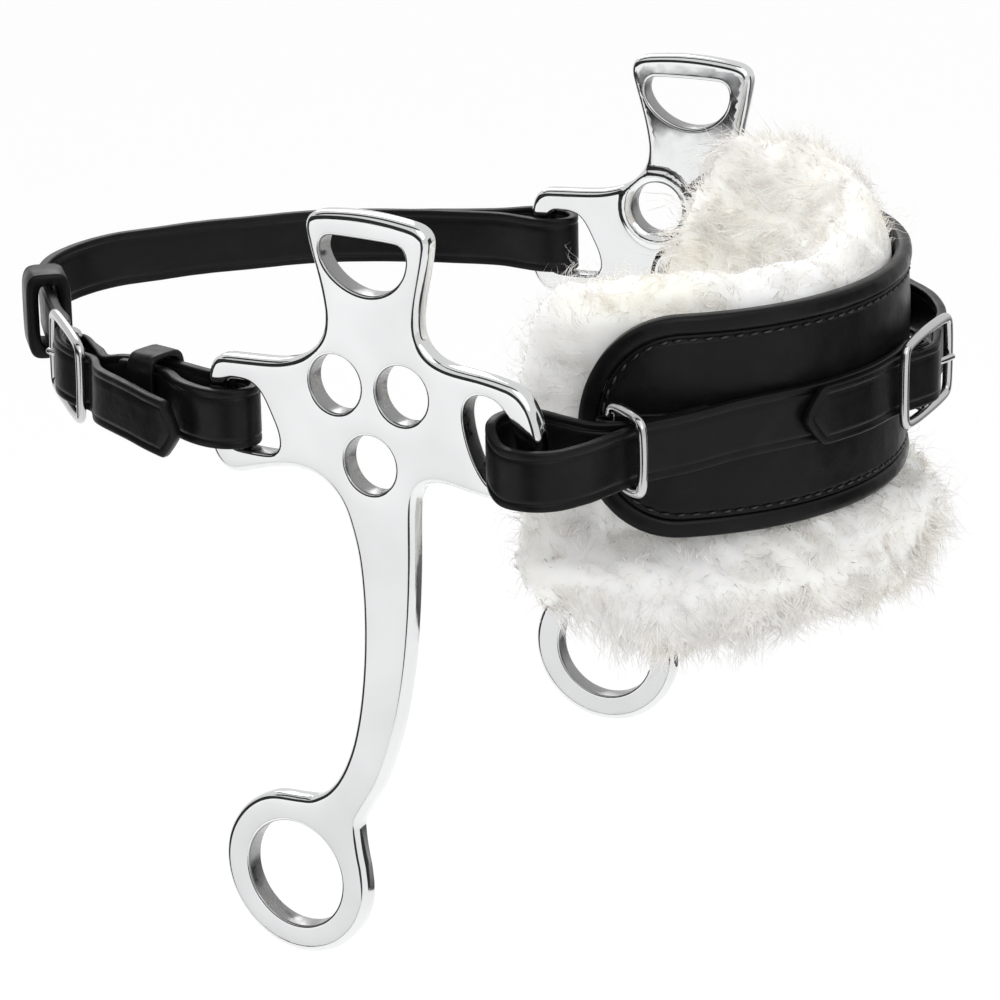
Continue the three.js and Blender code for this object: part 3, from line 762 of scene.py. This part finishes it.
def noseband_loop():
    """From the left ring out through the cheek plate's front slot and back."""
    return [
        (*on_pad(63, 84), Z_RING), (84.5, -63.4, Z_RING), (94, -60, Z_RING - 0.5), (101, -55, Z_RING - 1),
        (104.3, -48.5, Z_RING - 0.9), (103.6, -42, Z_RING - 0.3), (99.8, -37.4, Z_SLOT - 0.9),
        (94, -36, Z_SLOT), (88.2, -37.4, Z_SLOT), (84.8, -42, Z_SLOT - 0.3), (83.4, -48.5, Z_SLOT - 1.4),
        (80.7, -55.2, Z_RING + 0.5),
        (76.2, -60.9, Z_RING), (*on_pad(60.5, 80), Z_RING), (*on_pad(54, 75.8), Z_RING + 0.6),
        (*on_pad(50, 73.9), Z_RING + 1),
    ]


def rear_bar_turn():
    """Round the cheek plate's rear bar."""
    return [(x, y, Z_CURB - 0.6) for x, y in
            [(82.3, 50), (82.3, 43.5), (84.6, 38.9), (88.4, 37.4), (92.4, 39), (94.9, 44), (94.4, 50.5)]]


def nose_straps():
    run = [(*on_pad(a, r), z) for a, r, z in
           [(-12, 73.2, Z_PAD), (-24, 73.6, Z_PAD), (-36, 74, Z_PAD), (-46, 75.4, Z_PAD - 0.6),
            (-55, 79.6, Z_RING + 0.7)]]
    strap("nose_strap_right_creased", chape_turn(NOSE) + run + mirrored(noseband_loop()), NOSE_WIDTH,
          "noseband", "nose_strap_right", outer=-1, holes=[(at_buckle(NOSE, 2.65, -2.4), CHAPE_SLOT)])
    tip = [(*on_pad(a, r), Z_PAD, 2.4) for a, r in [(-31, 76.9), (-24, 76.7), (-14, 76.3)]]
    bulge = [(*on_pad(a, r), z) for a, r, z in
             [(29, 80, Z_PAD), (41, 80.8, Z_PAD), (53, 81.8, Z_RING + 0.8)]]
    holes = [(at_buckle(NOSE, 8.2, 0), PRONG_HOLE), (on_pad(34, 80), SPARE_HOLE)]
    strap("nose_strap_left_creased", tip + through_buckle(NOSE) + bulge + noseband_loop(), NOSE_WIDTH,
          "noseband", "nose_strap_left", tip=6, outer=-1, holes=holes)


def curb_straps():
    z, g = Z_CURB, STRAP_GAUGE
    tip = [(-99, 53.4, z - 5, g, 0.14), (-97.3, 61, z - 4, g, 0.13), (-94.2, 69, z - 3.3, g, 0.12),
           (-90.4, 77.3, z - 2.9, g, 0.1), (-85.6, 86.2, z - 2.7, g, 0.1)]
    back = [(x, y, z, g, 0.05 if i < 1 else 0) for i, (x, y) in enumerate([
        (-51.5, 121.6), (-40.5, 131), (-29.5, 140.4), (-19, 147.8), (-7, 151.2), (6, 150.2), (17.6, 145.6),
        (30.2, 136.7), (42, 126.8), (54, 114.8), (62.5, 104.6), (69, 93), (74.3, 80.5), (78.6, 68),
        (81.2, 58)])]
    end = [(x, y, z - 1.2) for x, y in [(89.6, 61), (84.4, 71), (79.4, 81), (75.4, 89.4)]]
    c = CURB
    holes = [(at_buckle(c, 8.2, 0), PRONG_HOLE), ((-24, 144.5), SPARE_HOLE)]
    strap("curb_long_strap_creased", tip + through_buckle(c) + back + rear_bar_turn() + end, CURB_WIDTH,
          "curb", "curb_long_strap", tip=5, lean_angle=c["angle"], holes=holes)
    inner = [(-77.2, 84, z - 1.6), (-76.9, 75, z - 1.2), (-78.5, 66, z - 0.8), (-81, 57, z - 0.6)]
    outer = [(-91.4, 57.4, z - 0.6), (-86.6, 63.2, z - 0.8), (-83.4, 69.2, z - 1), (-81.5, 76, z - 1.2),
             (-80.9, 82, z - 1.4)]
    strap("curb_buckle_strap_creased", chape_turn(c) + inner + mirrored(rear_bar_turn()) + outer,
          CURB_WIDTH, "curb", "curb_buckle_strap", lean_angle=c["angle"],
          holes=[(at_buckle(c, 2.65, -2.4), CHAPE_SLOT)])


nose_straps()
curb_straps()

# ------------------------------ rings, buckles and keepers

WIRE = {"ring": 1.35, "buckle": 1.4, "bar": 1.3, "eye": 0.5, "prong": 1.05}
BUCKLE = {"tall": 10.4, "corner": 2.6, "lift": 0.6, "drop": -2.4}
RING = {"tall": 9.6, "corner": 3.2, "inner": (69, 74.8), "outer": (79.8, -68.6)}


def rounded_frame(x0, x1, h, c):
    """Corner points of a rounded rectangle from x0 to x1, h either side of 0."""
    i = c * 0.3
    return [
        (x0, -h + c), (x0, h - c), (x0 + i, h - i), (x0 + c, h), (x1 - c, h), (x1 - i, h - i),
        (x1, h - c), (x1, -h + c), (x1 - i, -h + i), (x1 - c, -h), (x0 + c, -h), (x0 + i, -h + i),
    ]


def side_ring(name, side):
    """Wire ring at an end of the pad, from its hinged inner leg to the strap's outer leg."""
    x0, y0 = on_pad(*RING["inner"])
    x1, y1 = RING["outer"]
    long = math.hypot(x1 - x0, y1 - y0)
    pts = [(side * (x0 + s / long * (x1 - x0)), y0 + s / long * (y1 - y0), v + Z_RING)
           for s, v in rounded_frame(0, long, RING["tall"], RING["corner"])]
    path = spline(pts, 8, closed=True)
    up = np.array((side * (y1 - y0), x0 - x1, 0))
    verts, faces = tube(path, WIRE["ring"], closed=True, up=up / np.linalg.norm(up), sides=16)
    body = "right_ring" if side < 0 else "left_ring"
    build(name + "_wire", verts, faces, WIRE_STEEL, body, [name])


def ring_tab(name, side):
    """Thin leather tab from the pad round the ring's inner leg."""
    around = [(57, 71.9), (63, 71.9), (67.3, 71.9), (69.4, 72.1), (70.9, 73.1), (71.3, 74.8), (70.5, 76.5),
              (68.8, 77.4), (66, 77), (62.5, 76)]
    strap(name + "_leather", [(*on_pad(side * a, r), Z_RING, 1.2) for a, r in around], TAB_WIDTH, "noseband",
          name, groove=0, material=WELT_LEATHER, outer=side, wave=0)


def buckle(kind, b, body, prong_body):
    """Frame with its dropped middle bar, and the prong that turns on the bar."""
    turn = Matrix.Translation((b["x"], b["y"], b["z"])) @ Matrix.Rotation(b["angle"], 4, "Z")
    turn = turn @ Matrix.Rotation(-math.atan(b["slope"]), 4, "Y") @ Matrix.Diagonal((1, -b["side"], 1, 1))
    turn = np.array(turn)

    def placed(verts):
        return verts @ turn[:3, :3].T + turn[:3, 3]

    half, tall, lift, drop = b["half"], BUCKLE["tall"], BUCKLE["lift"], BUCKLE["drop"]
    outline = [(s, lift, v) for s, v in rounded_frame(-half, half, tall, BUCKLE["corner"])]
    frame_wire = tube(spline(outline, 8, closed=True), WIRE["buckle"], closed=True, up=(0, 1, 0), sides=16,
                      squash=0.92)
    rise = [(0, lift, -tall), (0, drop + 0.4, -tall + 1.4), (0, drop, -tall + 3), (0, drop, 0),
            (0, drop, tall - 3), (0, drop + 0.4, tall - 1.4), (0, lift, tall)]
    bar = tube(spline(rise, 6), WIRE["bar"], up=(1, 0, 0), sides=14)
    verts, faces = merge([frame_wire, bar])
    build(f"{kind}_buckle_frame_wire", placed(verts), faces, WIRE_STEEL, body,
          [f"{kind}_buckle_frame"])
    inner = WIRE["bar"] + 0.25
    rest = lift + WIRE["buckle"] + 0.7
    a = np.linspace(0, 2 * math.pi, 33)[:-1]
    eye_path = np.stack([(inner + 0.5) * np.cos(a), drop + (inner + 0.5) * np.sin(a), 0 * a], 1)
    eye = tube(eye_path, WIRE["eye"], closed=True, sides=12, squash=2.4)
    pts = [(inner + 0.2, drop, 0), (5.5, drop + 1.3, 0), (9.5, drop + 3.6, 0), (half - 2.6, rest - 0.3, 0),
           (half - 1.4, rest, 0)]
    path = spline(pts, 8)
    radius = WIRE["prong"] * (1 - 0.2 * np.linspace(0, 1, len(path)))
    radius[-3:] *= (0.94, 0.78, 0.42)
    shank = tube(path, radius, sides=14)
    verts, faces = merge([eye, shank])
    build(f"{kind}_buckle_prong_wire", placed(verts), faces, WIRE_STEEL, prong_body,
          [f"{kind}_buckle_prong"])


KEEPER_SQUARENESS = 0.42  # a lower power gives squarer corners


def keeper(name, half_depth, half_height, gauge, length, centre, angle, body):
    """Leather loop round a strap, with rounded edges and a line pressed near each edge."""
    a = np.linspace(0, 2 * math.pi, 72, endpoint=False)
    wide, tall = (np.sign(f) * np.abs(f) ** KEEPER_SQUARENESS for f in (np.cos(a), np.sin(a)))
    half = length / 2
    rise = [(0.12, 0.5), (0, 0.9)]
    line = [(0.6, 0), (0.15, 0.35), (0, 0.9), (0.12, 1.5), (0, 2.0)]
    section = [(grow, -half + s) for grow, s in rise] + [(grow, half - s) for grow, s in rise[::-1]]
    section += [(0.5, half)] + [(gauge - less, half - s) for less, s in line] + [(gauge, 0)]
    section += [(gauge - less, -half + s) for less, s in line[::-1]] + [(0.5, -half)]
    along = np.array((math.cos(angle), math.sin(angle), 0))
    across = np.array((-math.sin(angle), math.cos(angle), 0))
    up = np.array((0, 0, 1))
    rings = []
    for w, t in zip(wide, tall):
        rings.append(np.array([
            np.array(centre) + across * (half_depth + grow) * w + up * (half_height + grow) * t + along * s
            for grow, s in section
        ]))
    verts, faces = skin(rings, closed=True)
    build(name + "_leather", verts, faces, STRAP_LEATHER, body, [name])


side_ring("right_side_ring", -1)
side_ring("left_side_ring", 1)
ring_tab("right_ring_tab", -1)
ring_tab("left_ring_tab", 1)
buckle("nose", NOSE, "nose_buckle", "nose_prong")
buckle("curb", CURB, "curb_buckle", "curb_prong")
keeper("curb_wide_keeper", 2.8, 8.6, 3.4, 12, (-35.2, 136, Z_CURB), math.radians(40.5), "curb_keeper")
keeper("curb_chape_keeper", 4.8, 9.2, 1.8, 9, (-80.2, 71.6, Z_CURB - 1), math.pi / 2 - 0.22, "curb")

# ------------------------------ nose pad

PAD_BINDING = {"wide": 4.6, "middle": 2.35, "inner": -3.9}
PANEL_GAP = 0.15
BINDING_ROWS = (0.12, 0.35, 0.7, 1.2, 1.8)
PANEL_ROWS = (0.25, 0.5, 0.8, 1.1, 1.35, 1.6, 1.9, 2.3)
STITCH = {"inset": 6.1, "height": -0.45, "pitch": 3.9, "length": 2.5, "thick": 0.36}


def pad_outline():
    """Outline of the pad unrolled on its cylinder: distance round from the front, and height."""
    radius = PAD["radius"]
    end = PAD["y"] - radius * math.cos(math.radians(PAD["half"]))
    middle = (PAD["top"] + PAD["bottom"]) / 2
    tall = (PAD["top"] - PAD["bottom"]) / 2
    right = []
    for k in range(41):
        a = math.pi * k / 40
        y = end - PAD["corner"] + PAD["corner"] * math.sin(a)
        right.append((radius * math.acos((PAD["y"] - y) / radius), middle - tall * math.cos(a)))
    left = [(-s, z) for s, z in reversed(right)]
    return resample(np.array(right + left), 0.9, closed=True)


def around_pad(p, h):
    """Rolls a flat outline back on to the pad's cylinder, h outside it."""
    a = p[:, 0] / PAD["radius"]
    r = PAD["radius"] + h
    return np.stack([r * np.sin(a), PAD["y"] - r * np.cos(a), p[:, 1]], 1)


def pad_binding(outline):
    """The rolled edge: a fat bead outside, and a flatter one inside."""
    wide, middle = PAD_BINDING["wide"], PAD_BINDING["middle"]

    def top(d, p):
        into = distance(p, [outline])
        bulge = np.clip(1 - (np.abs(into - middle) / 2.55) ** 3, 0, 1) ** 0.4
        return -1.5 + 2.0 * bulge + 0.06 * smooth_noise(p, 5, 3)

    def bottom(d, p):
        into = distance(p, [outline])
        bulge = np.clip(1 - ((into - middle) / 2.6) ** 2, 0, 1) ** 0.5
        return np.where(into < middle, -2.1 - 1.8 * bulge, PAD_BINDING["inner"])

    loops = [outline, inset(outline, wide, [outline])]
    verts, faces = relief(loops, 1.0, BINDING_ROWS, top, bottom, around_pad)
    build("pad_binding_rolled", verts, faces, WELT_LEATHER, "noseband", ["pad_binding"])


def pad_panel(outline):
    """The leather panel inside the binding: a sewn channel round it, a crown and a little sag."""
    edge = inset(outline, PAD_BINDING["wide"] + PANEL_GAP, [outline])

    def top(d, p):
        seam = -0.55 * bump(d - 1.35, 0.75)
        crown = 0.35 * np.clip(d / 12, 0, 1)
        sag = 0.14 * smooth_noise(p, 17, 11) * np.clip(d / 6, 0, 1)
        return -0.1 - 0.35 * np.clip(1 - d / 0.7, 0, 1) ** 2 + seam + crown + sag

    def bottom(d, p):
        return np.full(len(p), -3.8)

    verts, faces = relief([edge], 1.15, PANEL_ROWS, top, bottom, around_pad)
    return build("pad_leather_panel", verts, faces, PAD_LEATHER, "noseband", ["pad_leather"])


def around_row(row, h):
    """Points along a row on the pad at height h, and the direction out of the pad at each."""
    even = resample(row, 0.5, closed=True)
    points = around_pad(even, np.full(len(even), h))
    out = points - np.array((0, PAD["y"], 0))
    out[:, 2] = 0
    return points, unit(out)


def stitches(name, row):
    """A row of thread stitches, each a short bead that dips at both ends."""
    points, out = row
    step = np.linalg.norm(points[1] - points[0])
    total = step * len(points)
    parts = []
    for k in range(int(total / STITCH["pitch"])):
        at = k * STITCH["pitch"] / step
        i = int(at) % len(points)
        j = int(at + STITCH["length"] / step) % len(points)
        a, b, n = points[i], points[j], out[(i + j) // 2 if j > i else i]
        tilt = np.cross(n, b - a)
        tilt /= np.linalg.norm(tilt)
        a, b = a - 0.18 * tilt, b + 0.18 * tilt
        t = np.linspace(0, 1, 6)[:, None]
        path = a * (1 - t) + b * t + n * (0.42 * np.sin(math.pi * t) - 0.05)
        radius = STITCH["thick"] * np.array((0.35, 0.85, 1, 1, 0.85, 0.35))
        parts.append(tube(path, radius, sides=7, up=n))
    verts, faces = merge(parts)
    build(name, verts, faces, THREAD, "noseband")


edge_of_pad = pad_outline()
pad_binding(edge_of_pad)
pad_panel(edge_of_pad)
stitches("pad_stitching", around_row(inset(edge_of_pad, STITCH["inset"], [edge_of_pad]), STITCH["height"]))

# ------------------------------ fleece

CORE = {"voxel": 2.1 * MM, "soften": 0.5, "rounds": 14, "lump": 1.9, "small_lump": 0.6, "inset": 0.8}


def fleece_core():
    """The body of the fleece, remeshed from its solid and swelled into soft lumps."""
    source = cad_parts["pad_fleece"]
    o = bpy.data.objects.new("pad_fleece_core", source.data.copy())
    scene.collection.objects.link(o)
    m = o.modifiers.new("remesh", "REMESH")
    m.mode = "VOXEL"
    m.voxel_size = CORE["voxel"]
    apply_modifiers(o)
    m = o.modifiers.new("soften", "SMOOTH")
    m.factor = CORE["soften"]
    m.iterations = CORE["rounds"]
    apply_modifiers(o)
    mesh = o.data
    co = np.empty(len(mesh.vertices) * 3)
    mesh.vertices.foreach_get("co", co)
    co = co.reshape(-1, 3) / MM
    normal = np.empty(len(mesh.vertices) * 3)
    mesh.vertices.foreach_get("normal", normal)
    normal = normal.reshape(-1, 3)
    free = free_share(co)
    lumps = CORE["lump"] * smooth_noise(co, 21, 5) + CORE["small_lump"] * smooth_noise(co, 9, 6)
    co += normal * ((lumps - CORE["inset"]) * free - 0.25)[:, None]
    # it stands higher and further back on the left
    left = ease(co[:, 0], 15, 58) * free
    back = left * ease(co[:, 1], -55, -28) * ease(co[:, 2], -35, -5)
    top = left * ease(co[:, 2], 12, 36)
    co += np.stack([-2 * back, 1.5 * back + 3 * top, 4 * top], 1)
    mesh.vertices.foreach_set("co", (co * MM).ravel())
    mesh.materials.clear()
    mesh.materials.append(WOOL)
    mesh.polygons.foreach_set("use_smooth", [True] * len(mesh.polygons))
    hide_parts("pad_fleece")
    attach(o, "noseband")
    return o


def free_share(p):
    """0 where the fleece lies against the leather, 1 where it is free."""
    r = np.hypot(p[:, 0], p[:, 1] - PAD["y"])
    angle = np.degrees(np.arctan2(np.abs(p[:, 0]), PAD["y"] - p[:, 1]))
    beside = (p[:, 2] > PAD["bottom"] + 1) & (p[:, 2] < PAD["top"] - 1) & (angle < PAD["half"] - 3)
    return np.where((r > 62) & beside, 0.0, 1.0)


# how deep a fibre's root lies, how much it droops, and how much it narrows before its tip
FIBRE = {"root": 0.8, "droop": 0.08, "taper": 0.75}


def wisps(name, core, count, length, width, seed, lift=0.5, sweep=(0, 0, 0), clump=30, pull=0.5, curl=0.2,
          spans=3, where=None):
    """Pile: curved fibres that taper to a point, rooted in the core and drawn together into locks."""
    r = np.random.RandomState(seed)
    mesh = core.data
    mesh.calc_loop_triangles()
    tri = np.array([t.vertices[:] for t in mesh.loop_triangles])
    co = np.array([v.co for v in mesh.vertices]) / MM
    a, b, c = co[tri[:, 0]], co[tri[:, 1]], co[tri[:, 2]]
    cross = np.cross(b - a, c - a)
    area = np.linalg.norm(cross, axis=1)
    pick = r.choice(len(tri), size=count * 4, p=area / area.sum())
    u, v = r.rand(2, len(pick))
    flip = u + v > 1
    u[flip], v[flip] = 1 - u[flip], 1 - v[flip]
    root = a[pick] + u[:, None] * (b - a)[pick] + v[:, None] * (c - a)[pick]
    n = cross[pick] / area[pick][:, None]
    keep = free_share(root + n) > 0.5
    if where is not None:
        keep &= where(root, n)
    root, n = root[keep][:count], n[keep][:count]
    centres = root[r.choice(len(root), max(4, len(root) // clump), replace=False)]
    near = np.empty(len(root), int)
    for i in range(0, len(root), 500):
        near[i:i + 500] = np.argmin(((root[i:i + 500, None] - centres[None]) ** 2).sum(2), 1)
    drawn = centres[near] - root
    flow = np.stack([smooth_noise(root, 34, seed + k) for k in (1, 2, 3)], 1)
    size = length * (0.65 + 0.35 * (smooth_noise(root, 20, seed + 9) + 1)) * r.uniform(0.55, 1.1, len(root))
    lean = flow * 0.8 + np.array(sweep) + r.normal(size=root.shape) * 0.12
    lean -= n * (lean * n).sum(1)[:, None]
    across = np.cross(n, lean + 0.1 * r.normal(size=root.shape))
    across /= np.linalg.norm(across, axis=1)[:, None] + 1e-9
    over = np.cross(across, n)
    phase = (4 * smooth_noise(root, 12, seed + 5) + r.uniform(0, 1.2, len(root)))[:, None]
    turns = 1.1 * spans
    rows = []
    for k in range(spans + 1):
        t = k / spans
        mid = root - FIBRE["root"] * n + (size * t)[:, None] * (n * lift + lean * 0.6)
        mid = mid + drawn * (pull * t * t)
        wave = across * (np.sin(phase + turns * t) - np.sin(phase))
        wave = wave + over * 0.5 * (np.cos(phase + turns * t) - np.cos(phase))
        mid = mid + (size * curl * t)[:, None] * wave
        mid[:, 2] -= FIBRE["droop"] * size * t * t
        mid = keep_clear(mid)
        if k == spans:
            rows.append(mid)
            break
        w = width * (1 - FIBRE["taper"] * t ** 1.6) * 0.5
        for j in range(3):
            turn = 2 * math.pi * j / 3 + k * 0.5
            rows.append(mid + (across * math.cos(turn) + over * math.sin(turn)) * w)
    each = len(rows)
    verts = np.stack(rows, 1).reshape(-1, 3)
    pattern = []
    for k in range(spans - 1):
        for j in range(3):
            p, q = 3 * k + j, 3 * k + (j + 1) % 3
            pattern += [(q, p, p + 3), (q, p + 3, q + 3)]
    last = 3 * (spans - 1)
    pattern += [(last + (j + 1) % 3, last + j, each - 1) for j in range(3)] + [(0, 1, 2)]
    faces = (np.array(pattern)[None] + each * np.arange(len(root))[:, None, None]).reshape(-1, 3)
    name = "pad_fleece_" + name
    mesh = bpy.data.meshes.new(name)
    mesh.from_pydata((verts * MM).tolist(), [], faces.tolist())
    mesh.materials.append(WISP)
    mesh.polygons.foreach_set("use_smooth", [True] * len(mesh.polygons))
    o = bpy.data.objects.new(name, mesh)
    scene.collection.objects.link(o)
    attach(o, "noseband")


CLEAR_RADIUS = 66.4  # just inside the leather
CLEAR_SIDE = 79  # just inside the side straps and cheek plates, behind the rings


def keep_clear(p):
    """Holds the pile off the leather, the side straps and the cheek plates."""
    p = p.copy()
    r = np.hypot(p[:, 0], p[:, 1] - PAD["y"])
    angle = np.degrees(np.arctan2(np.abs(p[:, 0]), PAD["y"] - p[:, 1]))
    beside = (p[:, 2] > PAD["bottom"] - 1.5) & (p[:, 2] < PAD["top"] + 1.5) & (angle < PAD["half"] - 1)
    inside_pad = (r > CLEAR_RADIUS) & (r < 84) & beside
    scale = np.where(inside_pad, CLEAR_RADIUS / np.maximum(r, 1), 1)
    p[:, 0] *= scale
    p[:, 1] = PAD["y"] + (p[:, 1] - PAD["y"]) * scale
    side = p[:, 1] > -62
    p[:, 0] = np.where(side, np.clip(p[:, 0], -CLEAR_SIDE, CLEAR_SIDE), p[:, 0])
    return p


core = fleece_core()


def fringe(root, n):
    return (root[:, 2] < -34) & (n[:, 2] < 0.3)


def lower(root, n):
    return root[:, 2] < -30


def upper(root, n):
    return root[:, 2] >= -34


def near_side(root, n):
    return (root[:, 0] < -40) & (root[:, 1] > -62) & (root[:, 2] > -30)


def far_side(root, n):
    """The left lining, which stands up and spills over towards the cheek plate."""
    return (root[:, 0] > 22) & (root[:, 2] > 0) & (root[:, 1] > -78)


def fleece_pile():
    """Each call gives a count, a length and a width in millimetres, and a seed."""
    wisps("fringe", core, 5600, 12.5, 0.34, 21, lift=0.55, sweep=(0, 0, -0.5), clump=70, pull=0.65,
          where=fringe)
    wisps("lower_pile", core, 4800, 9.0, 0.40, 25, lift=0.45, clump=40, where=lower)
    wisps("upper_pile", core, 4800, 9.0, 0.38, 31, lift=0.42, sweep=(0, 0.25, 0.35), clump=40,
          where=upper)
    wisps("down", core, 4800, 6.5, 0.30, 41, lift=0.4, clump=12)
    wisps("far_tuft", core, 4400, 14.0, 0.36, 61, lift=0.4, sweep=(-0.2, 0.8, 0.6), clump=60,
          where=far_side)
    wisps("near_curls", core, 1500, 13.0, 0.17, 71, lift=0.5, sweep=(0, 0.5, 0.2), clump=20,
          pull=0.3, spans=8, where=near_side)
    wisps("stray_fibres", core, 1500, 17.0, 0.15, 51, lift=0.6, clump=12, pull=0.3, curl=0.16,
          spans=8)


fleece_pile()
